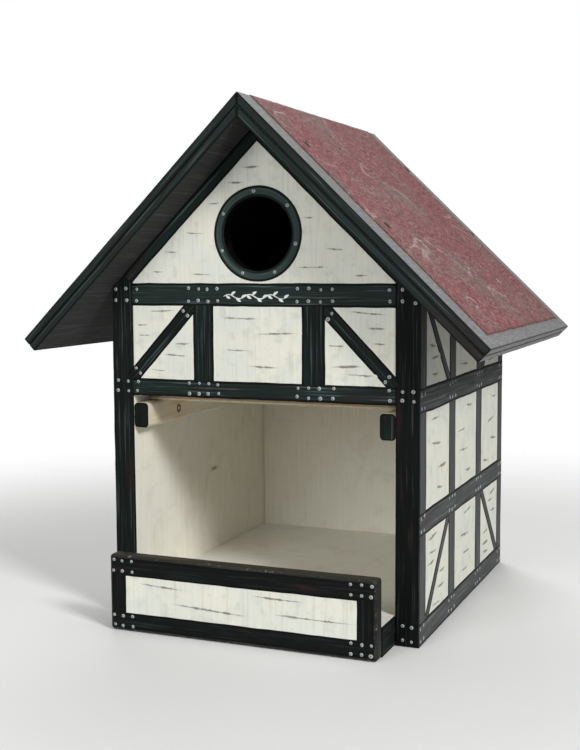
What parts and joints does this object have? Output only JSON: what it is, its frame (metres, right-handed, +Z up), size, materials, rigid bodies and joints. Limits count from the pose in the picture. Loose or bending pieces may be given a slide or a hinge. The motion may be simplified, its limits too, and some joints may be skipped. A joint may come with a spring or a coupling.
{
  "type": "birdhouse",
  "caption": "Half-timbered wooden birdhouse: gabled nest chamber with a round entrance over an open feeding chamber with a raised tray, and a nest floor that draws out.",
  "frame": {"origin": "middle of the footprint of the side walls, on the underside, where the house stands", "axes": "+Z up, +X to the right across the front, +Y to the back; the entrance and the tray face -Y"},
  "size_m": [0.368, 0.315, 0.4005],
  "materials": {
    "wall_paint": "off-white brushed paint over plywood, dark green-black painted timbers, inner face pale bare birch",
    "panel_paint": "off-white brushed paint with dark green-black painted timbers",
    "bare_birch": "pale bare birch, black painted edges",
    "timber_paint": "satin green-black brushed paint, worn at the edges",
    "cleat_wood": "bare wood with a black painted front end",
    "nest_floor_wood": "bare birch plywood",
    "roof_paint": "grey satin paint",
    "lining_paint": "green-black brushed paint",
    "roof_felt": "mottled red-brown felt with pale scuffs, matt",
    "steel": "zinc-plated",
    "filler": "painted over"
  },
  "bodies": {
    "house": {"left_side_wall": "wall_paint", "right_side_wall": "wall_paint", "back_wall": "wall_paint", "gable_panel": "panel_paint", "floor_board": "bare_birch", "tray_board": "timber_paint", "left_cleat": "cleat_wood", "right_cleat": "cleat_wood", "left_roof_board": "roof_paint", "right_roof_board": "roof_paint", "left_roof_lining": "lining_paint", "right_roof_lining": "lining_paint", "roof_covering": "roof_felt", "roof_screws": "steel", "left_wall_screws": "steel", "right_wall_screws": "steel", "tray_screws": "steel", "cleat_screws": "steel", "screw_fillers": "filler"},
    "nest_floor": {"nest_floor": "nest_floor_wood"}
  },
  "joints": [
    {"name": "nest_floor_slide", "type": "slide", "parent": "house", "child": "nest_floor", "axis": [0, -1, 0], "range_m": [0, 0.2]}
  ]
}
